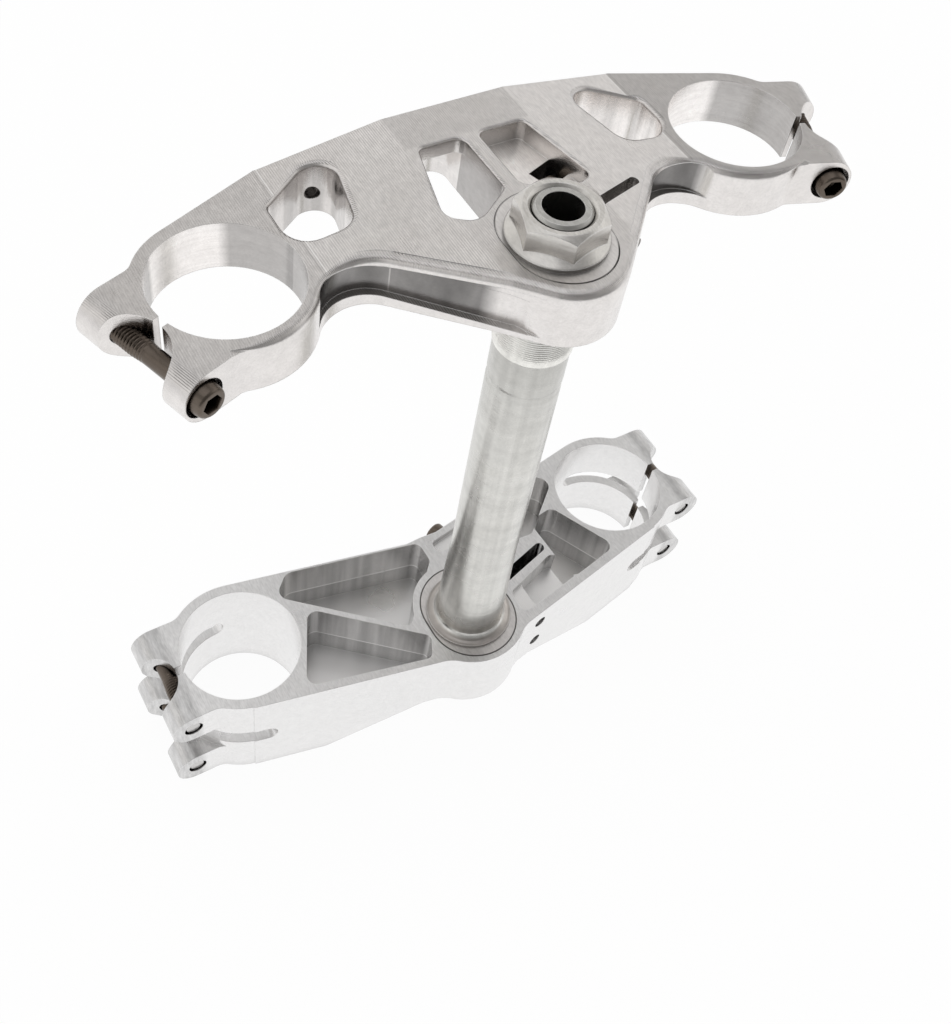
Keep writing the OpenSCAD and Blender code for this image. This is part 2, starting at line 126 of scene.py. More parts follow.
def cut(target, name, shells):
    """Takes closed shells out of a CAD node's shown surface; its own mesh stays as it is."""
    verts, faces = [], []
    for v, f in shells:
        faces += [tuple(i + len(verts) for i in face) for face in f]
        verts += v
    tool = new_piece(name, verts, faces, smooth=0, body=None)
    tool.hide_render = True
    tool.hide_viewport = True
    m = target.modifiers.new(name, "BOOLEAN")
    m.operation = "DIFFERENCE"
    m.solver = "EXACT"
    m.object = tool


def smooth_afresh(target, angle, fold_angle=4):
    """Shading normals worked out anew after a cut, smooth across edges below an angle.
    Shallow folds and rims on the top surface stay crisp."""
    tree = bpy.data.node_groups.new("smooth_afresh", "GeometryNodeTree")
    tree.interface.new_socket("Geometry", in_out="INPUT", socket_type="NodeSocketGeometry")
    tree.interface.new_socket("Geometry", in_out="OUTPUT", socket_type="NodeSocketGeometry")
    new, link = tree.nodes.new, tree.links.new
    drop = new("GeometryNodeRemoveAttribute")
    drop.inputs["Name"].default_value = "custom_normal"
    smooth = new("GeometryNodeSetShadeSmooth")
    crease = new("GeometryNodeSetShadeSmooth")
    crease.domain = "EDGE"
    crease.inputs["Shade Smooth"].default_value = False
    chain = [new("NodeGroupInput"), drop, smooth, crease, new("NodeGroupOutput")]
    for a, b in zip(chain, chain[1:]):
        link(a.outputs[0], b.inputs[0])
    bend = new("GeometryNodeInputMeshEdgeAngle")
    sharp, folded, on_top = [new("FunctionNodeCompare") for k in range(3)]
    for test, limit in ((sharp, angle), (folded, fold_angle)):
        link(bend.outputs[0], test.inputs[0])
        test.inputs[1].default_value = math.radians(limit)
    # height of the top surface above each edge
    split = new("ShaderNodeSeparateXYZ")
    link(new("GeometryNodeInputPosition").outputs[0], split.inputs[0])
    across = new("ShaderNodeMath")
    across.operation = "ABSOLUTE"
    link(split.outputs[0], across.inputs[0])
    top = new("ShaderNodeMapRange")
    link(across.outputs[0], top.inputs[0])
    for k, v in enumerate((RAMP, PLATEAU, UP_TOP, DECK)):
        top.inputs[k + 1].default_value = v * MM
    on_top.operation = "EQUAL"
    on_top.inputs["Epsilon"].default_value = 0.06 * MM
    link(split.outputs[2], on_top.inputs[0])
    link(top.outputs[0], on_top.inputs[1])
    both, either = [new("FunctionNodeBooleanMath") for k in range(2)]
    either.operation = "OR"
    link(on_top.outputs[0], both.inputs[0])
    link(folded.outputs[0], both.inputs[1])
    link(sharp.outputs[0], either.inputs[0])
    link(both.outputs[0], either.inputs[1])
    link(either.outputs[0], crease.inputs["Selection"])
    m = target.modifiers.new("smooth_afresh", "NODES")
    m.node_group = tree


def soft(corners, steps=7):
    """Points and outward normals of an outline with an arc of its own radius at each corner."""
    n = len(corners)
    pts = [Vector(c[:2]) for c in corners]
    res = []
    for i in range(n):
        a = (pts[i] - pts[i - 1]).normalized()
        b = (pts[(i + 1) % n] - pts[i]).normalized()
        turn = math.atan2(a.x * b.y - a.y * b.x, a.dot(b))
        r = corners[i][2]
        c = pts[i] - r * math.tan(turn / 2) * a + r * Vector((-a.y, a.x))
        for k in range(steps + 1):
            t = turn * k / steps
            d = Vector((a.y, -a.x))
            d = Vector((d.x * math.cos(t) - d.y * math.sin(t),
                        d.x * math.sin(t) + d.y * math.cos(t)))
            res.append((c + r * d, d))
    return res


# corners of the openings and their radii
WINDOW = [(46.8, 35.7, 7.5), (53.3, 4.8, 7), (75.2, 4.8, 10), (75.2, 25.2, 4), (58.2, 35.7, 6)]
LEFT_POCKET = [(-20.2, 24.2, 3), (-28.5, -8, 7), (-21, -13.6, 6), (-16, -12.4, 4),
               (-6.5, -6.2, 3), (-3, -3.5, 3), (-3, 24.2, 4)]
RIGHT_POCKET = [(3, 24.2, 3), (3, -3.5, 4), (7, -7, 4), (22, -11.5, 4), (28.5, -9, 4),
                (21.5, 24.2, 3)]


def rim_cutter(corners, size, mirrored=False, round_steps=3):
    """Rounds the rim of an opening: a ring swept along its outline."""
    rows = [(-0.6, 0.6), (-0.6, -size - 0.2), (-0.02, -size - 0.2)]
    for k in range(round_steps + 1):
        t = math.radians(90) * k / round_steps
        rows.append((size * (1 - math.cos(t)) - 0.02, -size * (1 - math.sin(t))))
    rows.append((size + 0.6, 0.6))
    pts = soft(corners)
    if mirrored:
        pts = [(Vector((-p.x, p.y)), Vector((-d.x, d.y))) for p, d in reversed(pts)]
    n = len(pts)
    verts = []
    for off, dz in rows:
        for p, d in pts:
            q = p + off * d
            verts.append(place(q.x, q.y, top_height(q.x) + dz))
    faces = grid_faces(len(rows), n)
    last = (len(rows) - 1) * n
    faces += [(last + j, last + (j + 1) % n, (j + 1) % n, j) for j in range(n)]
    return verts, faces


def sweep_cutter(path, radius, pitch, depth, steps=7):
    """Rounds an outer top edge along a path and leaves the ball mill's scallops on it."""
    verts = []
    for s, p, d, grow in path:
        t = (s / pitch) % 1.0
        r = radius * grow
        dip = depth * 4 * t * (1 - t) * min(grow, 1)
        z = top_height(p.x)
        row = [(-r - 0.4, 2.0), (-r - 0.4, 0.05)]
        for k in range(steps):
            a = math.radians(90 - 90 * k / (steps - 1))
            row.append((-r + (r + 0.03 - dip) * math.cos(a), -r + (r + 0.03 - dip) * math.sin(a)))
        row += [(2.0, -r), (2.0, 2.0)]
        for off, dz in row:
            q = p + off * d
            verts.append(place(q.x, q.y, z + dz))
        m = len(row)
    n = len(path)
    faces = grid_faces(n, m)
    faces.append(tuple(range(m)))
    faces.append(tuple(reversed(range((n - 1) * m, n * m))))
    return verts, faces


def scoop_cutter(side, lip=3.6, low=269.4, deep=2.6, run_out=45.0, start=16.5):
    """Takes a flank scoop up to a lip that follows the ramp, and ends it in a long arc."""
    d45 = math.radians(45)
    along = Vector((math.cos(d45), math.sin(d45)))
    inward = Vector((-along.y, along.x))
    flank = Vector((BOSS_R * math.cos(d45), BOSS_Y - BOSS_R * math.sin(d45)))
    hollow = Vector((HOLLOW_X, HOLLOW_Y))
    floor_centre = hollow + 3 * Vector((math.cos(math.radians(110)), math.sin(math.radians(110))))
    foot = hollow + HOLLOW_R * inward
    length = (foot - flank).dot(along)
    rows = []
    for k in range(12):
        s = start * (0.09 + 0.91 * k / 12)
        depth = deep - run_out + math.sqrt(run_out ** 2 - (start - s) ** 2)
        rows.append((flank + s * along + depth * inward, flank + s * along - 1.5 * inward))
    for k in range(14):
        s = start + (length - start) * k / 14
        rows.append((flank + s * along + deep * inward, flank + s * along - 1.5 * inward))
    last = math.degrees(math.atan2(-hollow.y, HALF - hollow.x))
    for k in range(25):
        t = math.radians(135 + (last - 135) * k / 24)
        spoke = Vector((math.cos(t), math.sin(t)))
        rows.append((floor_centre + (HOLLOW_R - 0.12) * spoke, hollow + (HOLLOW_R - 1.5) * spoke))
    verts = []
    for floor_at, open_at in rows:
        top = top_height(floor_at.x) - lip
        for q, z in ((floor_at, low), (floor_at, top), (open_at, top), (open_at, low)):
            verts.append(place(side * q.x, q.y, z))
    faces = grid_faces(len(rows), 4)
    end = 4 * (len(rows) - 1)
    faces += [(0, 1, 2, 3), (end + 3, end + 2, end + 1, end)]
    return verts, faces


def rear_path(step):
    """Rear top edge of the upper clamp: ring, hollow, flank, boss and back, as points
    (distance, place, outward normal, share of the rounding)."""
    half = []
    hollow = Vector((HOLLOW_X, HOLLOW_Y))
    ring = Vector((HALF, 0))
    boss = Vector((0, BOSS_Y))
    a1 = math.radians(-45)
    arcs = [("arc", boss, BOSS_R, math.radians(-90), a1, 1)]
    end_boss = boss + BOSS_R * Vector((math.cos(a1), math.sin(a1)))
    a2 = math.radians(135)
    start_hollow = hollow + HOLLOW_R * Vector((math.cos(a2), math.sin(a2)))
    arcs.append(("line", end_boss, start_hollow))
    to_ring = math.atan2(ring.y - hollow.y, ring.x - hollow.x)
    arcs.append(("arc", hollow, HOLLOW_R, a2, to_ring, -1))
    arcs.append(("arc", ring, RING_U, to_ring - math.pi, math.radians(-68), 1))
    for seg in arcs:
        if seg[0] == "line":
            a, b = seg[1], seg[2]
            n = max(2, int((b - a).length / step))
            d = (b - a).normalized()
            for k in range(n):
                half.append((a + (b - a) * k / n, Vector((d.y, -d.x))))
        else:
            c, r, t0, t1, side = seg[1:]
            n = max(2, int(abs(t1 - t0) * r / step))
            for k in range(n):
                t = t0 + (t1 - t0) * k / n
                d = Vector((math.cos(t), math.sin(t)))
                half.append((c + r * d, d * side))
    left = [(Vector((-p.x, p.y)), Vector((-d.x, d.y))) for p, d in reversed(half[1:])]
    whole = left + half
    path, s = [], 0.0
    for i, (p, d) in enumerate(whole):
        if i:
            s += (p - whole[i - 1][0]).length
        path.append([s, p, d, 1.0])
    for e in path:
        edge = min(e[0], s - e[0])
        e[3] = 0.06 + 0.94 * min(1.0, edge / 16.0)
    return path


# threads and bolts

def ridge(turns, steep):
    """Height from 0 to 1 of a thread's ridge at a place counted in turns."""
    return max(0.0, min(1.0, steep / 2 - steep * abs(turns % 1.0 - 0.5)))


def lathe_bolt(name, origin, turn, flip, rows_spec, socket, sides=48):
    """A bolt round the local Y axis. rows_spec: (y, radius) or ('thread', y0, y1, root, crest,
    pitch). The socket is (flats, depth) cut into the end at the first row."""
    rows = []
    for spec in rows_spec:
        if spec[0] == "thread":
            y0, y1, root, crest, pitch = spec[1:]
            n = int(abs(y1 - y0) / pitch * ROWS_PER_TURN)
            for k in range(n + 1):
                fade = min(1.0, 3.0 * min(k, n - k) / n + 0.15)
                rows.append((y0 + (y1 - y0) * k / n, root, crest - root, pitch, fade))
        else:
            rows.append((spec[0], spec[1], 0.0, 1.0, 0.0))
    pts = []
    for y, root, rise, pitch, fade in rows:
        for j in range(sides):
            a = 2 * math.pi * j / sides
            r = root + rise * fade * ridge(y / pitch - j / sides, 2.7)
            pts.append((r * math.cos(a), y, r * math.sin(a)))
    faces = grid_faces(len(rows), sides)
    faces.append(tuple(range((len(rows) - 1) * sides, len(rows) * sides)))
    # six-sided socket with a chamfered mouth and a drilled cone at its bottom
    flats, depth = socket
    mouth = rows[0][0]
    sign = 1 if rows[-1][0] > mouth else -1
    base = len(pts)
    for dy, grow in ((0.0, 1.06), (0.35 * sign, 1.0), (depth * sign, 1.0)):
        for j in range(sides):
            a = 2 * math.pi * j / sides
            r = flats / 2 / math.cos((a % (math.pi / 3)) - math.pi / 6) * grow
            pts.append((r * math.cos(a), mouth + dy, r * math.sin(a)))
    for j in range(sides):
        k = (j + 1) % sides
        faces.append((j, k, base + k, base + j))
        for low in (base, base + sides):
            faces.append((low + j, low + k, low + sides + k, low + sides + j))
    tip = len(pts)
    pts.append((0, mouth + (depth + 1.2) * sign, 0))
    low = base + 2 * sides
    for j in range(sides):
        faces.append((low + j, low + (j + 1) % sides, tip))
    c, s = math.cos(math.radians(turn)), math.sin(math.radians(turn))
    verts = []
    for x, y, z in pts:
        if flip:
            y = -y
        verts.append(place(origin[0] + c * x - s * y, origin[1] + s * x + c * y, origin[2] + z))
    return new_piece(name, verts, faces, smooth=35)


def m8_rows(grip, plain):
    """M8 cap screw: head with chamfer, taper and foot, then neck, plain shank and thread."""
    return [(-8.0, 4.3), (-7.95, 4.6), (-7.5, 5.15), (-7.0, 5.35), (-1.2, 6.35), (-0.5, 6.5),
            (0.0, 6.45), (0.0, 4.3), (0.5, 3.9), (1.4, 3.4), (plain, 3.4), (plain + 0.4, 3.45),
            ("thread", plain + 0.5, grip - 0.8, 3.35, 3.99, 1.25), (grip - 0.2, 3.2), (grip, 2.9)]


def m6_rows(grip, plain):
    """M6 cap screw: head, plain shank and thread."""
    return [(-6.0, 3.6), (-5.9, 4.3), (-5.3, 4.85), (-4.9, 5.0), (-0.4, 5.0), (0.0, 4.8),
            (0.0, 3.0), (plain, 2.95),
            ("thread", plain + 0.3, grip - 0.6, 2.45, 2.98, 1.0), (grip - 0.1, 2.5), (grip, 2.3)]


def pinch_bolt(name, node, origin, turn, flip, rows):
    """A bolt of a fork ring, shown in place of its CAD node."""
    bolt = lathe_bolt(name, origin, turn, flip, rows, socket=(6.0, 4.5))
    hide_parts(node)
    return bolt


def insert_bolt(name, node, turn, out, head, grip, z):
    """A bolt that pinches an insert, shown in place of its CAD node."""
    c, s = math.cos(math.radians(turn)), math.sin(math.radians(turn))
    origin = (c * out - s * head, STEM_Y + s * out + c * head, z)
    bolt = lathe_bolt(name, origin, turn, True, m6_rows(head + grip, head - 2), socket=(5.0, 3.2))
    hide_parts(node)
    return bolt


BOLTS = []
for side, tag in ((-1, "left"), (1, "right")):
    turn = -EAR_TURN * side
    c, s = math.cos(math.radians(turn)), math.sin(math.radians(turn))
    ux, uy = side * EAR_REACH_U, -SEAT_U
    BOLTS.append(pinch_bolt("pinch_bolt_upper_" + tag, "upper_pinch_bolt_" + tag,
                            (side * HALF + c * ux - s * uy, s * ux + c * uy, UP_TOP - BAND / 2),
                            turn, False, m8_rows(SEAT_U + 19, 18.6)))
    for level, z in (("top", LOW_TOP - BAND / 2), ("bottom", BAND / 2)):
        BOLTS.append(pinch_bolt("pinch_bolt_lower_%s_%s" % (tag, level),
                                "lower_pinch_bolt_%s_%s" % (tag, level),
                                (side * (HALF + EAR_REACH_L), SEAT_L, z),
                                0, True, m8_rows(SEAT_L + 23.4, SEAT_L - 4)))
BOLTS.append(insert_bolt("insert_bolt_upper", "upper_insert_bolt",
                         turn=19.2, out=31, head=20.5, grip=13.8, z=UP_TOP - 7.5))
for level, depth in (("top", 10), ("bottom", 26.5)):
    BOLTS.append(insert_bolt("insert_bolt_lower_" + level, "lower_insert_bolt_" + level,
                             turn=16.7, out=25.5, head=40, grip=22, z=LOW_TOP - depth))


def thread_sleeve(name, z0, z1, root, crest, pitch, sides=96):
    """A screw thread round the stem, standing on the CAD stem's plain wall."""
    rows = int((z1 - z0) / pitch * ROWS_PER_TURN)
    rings = []
    for i in range(rows + 1):
        z = z0 + (z1 - z0) * i / rows
        fade = min(1.0, 6.0 * min(i, rows - i) / rows)
        rings.append((z, [root + (crest - root) * fade * ridge(z / pitch - j / sides, 3.0)
                          for j in range(sides)]))
    rings += [(z1, [root - 0.3] * sides), (z0, [root - 0.3] * sides)]
    verts = []
    for z, radii in rings:
        for j, r in enumerate(radii):
            a = 2 * math.pi * j / sides
            verts.append(place(r * math.cos(a), STEM_Y + r * math.sin(a), z))
    return new_piece(name, verts, grid_faces(len(rings), sides), smooth=60)


def tapped_thread(name, x, z, y0, y1, bore, root, pitch, sides=40):
    """Inside thread of the tapped hole in the front wall: a thin ridged sleeve."""
    rows = int((y1 - y0) / pitch * ROWS_PER_TURN)
    rings = []
    for i in range(rows + 1):
        y = y0 + (y1 - y0) * i / rows
        rings.append((y, [bore - (bore - root) * ridge(y / pitch - j / sides, 3.0)
                          for j in range(sides)]))
    rings += [(y1, [bore + 0.15] * sides), (y0, [bore + 0.15] * sides)]
    verts = []
    for y, radii in rings:
        for j, r in enumerate(radii):
            a = 2 * math.pi * j / sides
            verts.append(place(x + r * math.cos(a), y, z + r * math.sin(a)))
    faces = grid_faces(len(rings), sides)
    last = (len(rings) - 1) * sides
    faces += [(last + j, last + (j + 1) % sides, (j + 1) % sides, j) for j in range(sides)]
    return new_piece(name, verts, faces, smooth=60)


TAPPED = tapped_thread("tapped_hole_thread", x=-53.8, z=UP_TOP - 9.8, y0=FRONT - 6.4,
                       y1=FRONT - 0.3, bore=2.55, root=2.15, pitch=1.0)
STEM_THREAD = thread_sleeve("stem_thread", z0=UP_TOP - 40.6, z1=DECK_LOW - 0.05,
                            root=14.48, crest=14.85, pitch=1.0)

# rounded rims and the ends of the flank scoops, cut into the shown upper clamp

upper = NODES["upper_clamp"]
cut(upper, "upper_edges", [
    sweep_cutter(rear_path(0.27), radius=3.2, pitch=0.8, depth=0.05),
    rim_cutter(WINDOW, WINDOW_RIM),
    rim_cutter(WINDOW, WINDOW_RIM, mirrored=True),
    rim_cutter(LEFT_POCKET, POCKET_RIM),
    rim_cutter(RIGHT_POCKET, POCKET_RIM),
    scoop_cutter(-1),
    scoop_cutter(1)])
smooth_afresh(upper, 32)


# finishes of the metals

class Graph:
    """Short way to write a node material, with the place and slope that the zones ask for."""

    def __init__(self, name):
        self.mat = bpy.data.materials.new(name)
        self.mat.use_nodes = True
        self.nt = self.mat.node_tree
        self.nt.nodes.clear()
        out = self.nt.nodes.new("ShaderNodeOutputMaterial")
        self.bsdf = self.nt.nodes.new("ShaderNodeBsdfPrincipled")
        self.nt.links.new(self.bsdf.outputs[0], out.inputs[0])
        self.coord = self.nt.nodes.new("ShaderNodeTexCoord").outputs["Object"]
        self.normal = self.nt.nodes.new("ShaderNodeNewGeometry").outputs["Normal"]
        self.x, self.y, self.z = self.xyz(self.coord)
        self.ax = self.math("ABSOLUTE", self.x)
        self.nz = self.xyz(self.normal)[2]
        self.flat = self.rise(self.nz, 0.80, 0.95)
        self.wall = self.fall(self.math("ABSOLUTE", self.nz), 0.25, 0.6)

    def link(self, a, b):
        """Joins an output to an input, or sets the input to a number or a colour."""
        if isinstance(a, (int, float, tuple, list)):
            b.default_value = a
        else:
            self.nt.links.new(a, b)

    def math(self, op, a, b=0.0, c=0.0):
        n = self.nt.nodes.new("ShaderNodeMath")
        n.operation = op
        for k, v in enumerate((a, b, c)):
            self.link(v, n.inputs[k])
        return n.outputs[0]

    def product(self, first, *others):
        for other in others:
            first = self.math("MULTIPLY", first, other)
        return first

    def length(self, dx, dy):
        return self.math("SQRT", self.math("ADD", self.product(dx, dx), self.product(dy, dy)))

    def xyz(self, v):
        n = self.nt.nodes.new("ShaderNodeSeparateXYZ")
        self.link(v, n.inputs[0])
        return n.outputs

    def noise(self, scale, detail=3, stretch=(1, 1, 1)):
        mp = self.nt.nodes.new("ShaderNodeMapping")
        self.link(self.coord, mp.inputs[0])
        mp.inputs["Scale"].default_value = stretch
        n = self.nt.nodes.new("ShaderNodeTexNoise")
        self.link(mp.outputs[0], n.inputs["Vector"])
        n.inputs["Scale"].default_value = scale
        n.inputs["Detail"].default_value = detail
        n.inputs["Roughness"].default_value = 0.55
        return n.outputs["Fac"]

    def ramp(self, v, lo, hi, a, b):
        """v from lo..hi mapped to a..b, held at the ends."""
        n = self.nt.nodes.new("ShaderNodeMapRange")
        for k, value in enumerate((v, lo, hi, a, b)):
            self.link(value, n.inputs[k])
        return n.outputs[0]

    def rise(self, v, lo, hi):
        """Mask that goes from 0 at lo to 1 at hi."""
        return self.ramp(v, lo, hi, 0.0, 1.0)

    def fall(self, v, lo, hi):
        """Mask that goes from 1 at lo to 0 at hi."""
        return self.ramp(v, lo, hi, 1.0, 0.0)

    def mix(self, f, a, b):
        n = self.nt.nodes.new("ShaderNodeMix")
        n.data_type = "RGBA"
        self.link(f, n.inputs[0])
        self.link(a, n.inputs[6])
        self.link(b, n.inputs[7])
        return n.outputs[2]

    def scale(self, colour, f):
        n = self.nt.nodes.new("ShaderNodeVectorMath")
        n.operation = "SCALE"
        self.link(colour, n.inputs[0])
        self.link(f, n.inputs["Scale"])
        return n.outputs[0]

    def tint(self, colour, mask, tone):
        """The colour times a tone where the mask is 1, and as it was where the mask is 0."""
        return self.scale(colour, self.ramp(mask, 0.0, 1.0, 1.0, tone))

    def bump(self, height, strength, dist, normal):
        n = self.nt.nodes.new("ShaderNodeBump")
        n.inputs["Strength"].default_value = strength
        n.inputs["Distance"].default_value = dist
        self.link(height, n.inputs["Height"])
        if normal is not None:
            self.link(normal, n.inputs["Normal"])
        return n.outputs[0]

    def edge(self, radius):
        n = self.nt.nodes.new("ShaderNodeBevel")
        n.samples = 4
        n.inputs["Radius"].default_value = radius
        return n.outputs[0]

    def shelter(self, distance):
        """Ambient occlusion: 0 deep in a recess, 1 in the open."""
        n = self.nt.nodes.new("ShaderNodeAmbientOcclusion")
        n.samples = 4
        n.inputs["Distance"].default_value = distance
        return n.outputs["AO"]

    def dot(self, a, b):
        n = self.nt.nodes.new("ShaderNodeVectorMath")
        n.operation = "DOT_PRODUCT"
        self.link(a, n.inputs[0])
        self.link(b, n.inputs[1])
        return n.outputs["Value"]


CUTTER_PITCH = 0.8 * MM
TICK_PITCH = 0.62 * MM
# pale colour of the painted highlight along the edges
EDGE_HIGHLIGHT_METAL = (0.93, 0.92, 0.91, 1)


def cutter_marks(g, lines):
    """Passes of the cutter on the level faces, brushing and upright streaks on the walls.
    Gives the height of the marks, and the part of it that also shows as tone."""
    passes = g.math("SINE", g.math("MULTIPLY", g.x, 2 * math.pi / CUTTER_PITCH))
    passes = g.product(passes, g.ramp(g.noise(14, 2), 0.3, 0.7, 0.35, 1.0))
    if lines == "clamp":
        # deep left of the plateau and shallow on the left ring
        strong = g.product(g.ramp(g.x, -PLATEAU * MM, -(PLATEAU + 0.5) * MM, 0.35, 1.3),
                           g.ramp(g.x, -(RAMP + 7) * MM, -(RAMP + 0.2) * MM, 0.35, 1.0))
        brushed = g.product(g.noise(420, 3, (9, 1, 9)), 0.5)
    else:
        strong = 0.15
        brushed = g.product(g.noise(420, 3, (1, 9, 9)), 0.2)
    tone = g.product(passes, strong, g.flat)
    streak = g.product(g.noise(160, 3, (1, 1, 0.06)), 0.35, g.wall)
    return g.math("ADD", g.math("ADD", tone, brushed), streak), tone


def machined(name, dark, light, rough, lines, zones=None, edge=0.45 * MM, shade=0.5):
    """Cut aluminium or steel: cutter marks, cloudy tone, painted shade in the recesses and painted
    highlights along the edges.
    """
    g = Graph(name)
    cloud = g.noise(35, 3)
    col = g.mix(g.rise(cloud, 0.2, 0.8), dark, light)
    if lines == "turned":
        marks = g.product(g.noise(700, 3, (0.04, 0.04, 1)), 0.9)
    else:
        marks, tone = cutter_marks(g, lines)
        col = g.scale(col, g.ramp(tone, -1.5, 1.5, 0.68, 1.10))
    height = g.math("ADD", g.product(g.noise(900, 2), 0.2), marks)
    edged = g.edge(edge) if edge else None
    normal = g.bump(height, 0.30, 0.3 * MM, edged)
    mottle = (0.975, 1.015) if lines == "lower" else (0.95, 1.04)
    col = g.scale(col, g.ramp(g.noise(260, 3), 0.3, 0.7, *mottle))
    grain = g.ramp(g.noise(1400, 2, (1, 0.25, 1)), 0.3, 0.7, -0.10, 0.08)
    grain = g.product(grain, g.ramp(g.flat, 0.0, 1.0, 0.45, 1.0))
    col = g.scale(col, g.math("ADD", 1.0, grain))
    dull = g.ramp(cloud, 0.3, 0.7, *rough)
    if zones:
        col, dull = zones(g, col, dull)
    # painted shade: the colour darkened in recesses, as deep as the ambient occlusion finds them
    if shade:
        col = g.scale(col, g.ramp(g.shelter(12 * MM), 0.15, 0.75, 1.0 - shade, 1.0))
    # painted highlight along the edges: colour mixed towards a pale metal, in patches, where the bevel
    # finds an edge
    if edge:
        edge_highlight = g.fall(g.dot(edged, g.normal), 0.86, 0.985)
        edge_highlight = g.product(edge_highlight, g.ramp(cloud, 0.35, 0.6, 0.25, 0.9))
        col = g.mix(edge_highlight, col, EDGE_HIGHLIGHT_METAL)
    g.link(col, g.bsdf.inputs["Base Color"])
    g.link(dull, g.bsdf.inputs["Roughness"])
    g.link(normal, g.bsdf.inputs["Normal"])
    g.bsdf.inputs["Metallic"].default_value = 1.0
    return g.mat


def upper_level_faces(g, col):
    """Tones of the ends and the front panel, a painted highlight and painted shade along the seams of
    the ramps, and tool ticks on the rims.
    """
    ends = (((RAMP - 0.1) * MM, (RAMP + 0.3) * MM, 0.72), ((0.1 - RAMP) * MM, -(RAMP + 0.3) * MM, 0.90))
    for start, full, tone in ends:
        col = g.tint(col, g.product(g.rise(g.x, start, full), g.flat), tone)
    panel = g.product(g.fall(g.ax, (PLATEAU - 0.2) * MM, (PLATEAU + 0.1) * MM),
                      g.rise(g.y, 32.5 * MM, 33.5 * MM), g.flat)
    col = g.tint(col, panel, 0.90)
    # painted highlight and painted shade: a pale line and a dark line along the seam at the foot of
    # each ramp
    seam = g.product(g.math("COMPARE", g.ax, (RAMP + 0.1) * MM, 0.22 * MM), g.flat)
    col = g.mix(g.product(seam, 0.6), col, (1.0, 0.99, 0.98, 1))
    seam = g.product(g.math("COMPARE", g.ax, (RAMP + 1.4) * MM, 0.2 * MM), g.flat)
    col = g.tint(col, seam, 0.80)
    slant = g.math("ADD", g.x, g.product(g.y, 0.35))
    tick = g.rise(g.math("SINE", g.product(slant, 2 * math.pi / TICK_PITCH)), 0.1, 0.8)
    tick = g.product(tick, g.ramp(g.noise(120, 2), 0.42, 0.58, 0.25, 1.0))
    band = g.product(g.rise(g.nz, 0.66, 0.74), g.fall(g.nz, 0.94, 0.985))
    return g.tint(col, g.product(band, tick), 0.42)


def upper_openings(g, col):
    """Painted light and shade in the openings: a paler right pocket floor, lit and shaded fork bores,
    darker left pocket walls, and window walls with painted reflection bands, darker on the left and
    paler on the right.
    """
    # painted light: the floor of the right pocket made paler
    pocket_floor = g.product(g.math("COMPARE", g.z, (UP_TOP - 1) * MM, 0.4 * MM), g.flat,
                             g.fall(g.ax, 26.2 * MM, 26.6 * MM))
    col = g.tint(col, pocket_floor, 1.35)
    for side in (-1, 1):
        u = g.math("DIVIDE", g.math("SUBTRACT", g.x, side * HALF * MM), BORE_U * MM)
        v = g.math("DIVIDE", g.math("SUBTRACT", g.y, SHIFT_Y * MM), BORE_U * MM)
        bore = g.product(g.math("COMPARE", g.length(u, v), 1.0, 0.02), g.wall)
        # painted shade and painted light on the bore walls, darker or paler by the place across the
        # bore
        tone = g.product(g.ramp(u, 0.30, 0.44, 1.18, 0.62), g.ramp(u, -0.74, -0.68, 0.55, 1.0))
        tone = g.math("ADD", tone, g.ramp(u, -0.90, -0.84, 0.30, 0.0))
        fine_rings = g.ramp(g.noise(600, 2, (0.05, 0.05, 1)), 0.3, 0.7, 0.93, 1.05)
        col = g.tint(col, bore, g.product(tone, fine_rings))
    # painted shade: the walls of the left pocket darkened
    pocket = g.product(g.fall(g.ax, 27.2 * MM, 27.6 * MM), g.fall(g.y, 31.0 * MM, 31.2 * MM),
                       g.rise(g.y, -6.0 * MM, -5.5 * MM), g.wall, g.fall(g.x, 0.0, 1.0 * MM))
    col = g.tint(col, pocket, 0.58)
    window = g.product(g.rise(g.ax, 46.0 * MM, 46.5 * MM), g.fall(g.ax, 76.3 * MM, 76.8 * MM), g.wall,
                       g.rise(g.y, 11.8 * MM, 12.2 * MM), g.fall(g.y, 44.2 * MM, 44.6 * MM))
    # painted reflection: upright bands on the window walls, with painted shade on the left windows and
    # painted light on the right ones
    window_reflection_bands = g.ramp(g.noise(150, 2, (1, 1, 0.02)), 0.40, 0.60, 0.80, 1.10)
    window_reflection_bands = g.product(window_reflection_bands, g.ramp(g.x, -1.0 * MM, 1.0 * MM, 0.85, 1.12))
    return g.tint(col, window, window_reflection_bands)


def scoop_floors(g):
    """Mask of the floors of the scoops, along the flanks and round the hollows."""
    run = g.math("SUBTRACT", g.ax, g.y)
    face = (FLANK_K - SHIFT_Y) * MM
    flank = g.product(g.fall(run, face - 2.6 * MM, face - 0.6 * MM),
                      g.rise(run, face - 6.2 * MM, face - 5.8 * MM),
                      g.rise(g.ax, 24.5 * MM, 29.0 * MM))
    dx = g.math("SUBTRACT", g.ax, HOLLOW_X * MM)
    dy = g.math("SUBTRACT", g.y, (HOLLOW_Y + SHIFT_Y) * MM)
    far = g.length(dx, dy)
    past_flank = g.rise(g.math("ADD", dx, dy), -0.5 * MM, 0.5 * MM)
    past_ring = g.math("SUBTRACT", g.product(dx, -HOLLOW_Y), g.product(dy, HALF - HOLLOW_X))
    hollow = g.product(g.rise(far, (HOLLOW_R + 0.6) * MM, (HOLLOW_R + 1.4) * MM),
                       g.fall(far, (HOLLOW_R + 3.2) * MM, (HOLLOW_R + 3.5) * MM),
                       g.fall(past_ring, -0.01, 0.0), past_flank)
    flank = g.product(flank, g.math("SUBTRACT", 1.0, past_flank))
    return g.product(g.math("MAXIMUM", flank, hollow), g.wall)


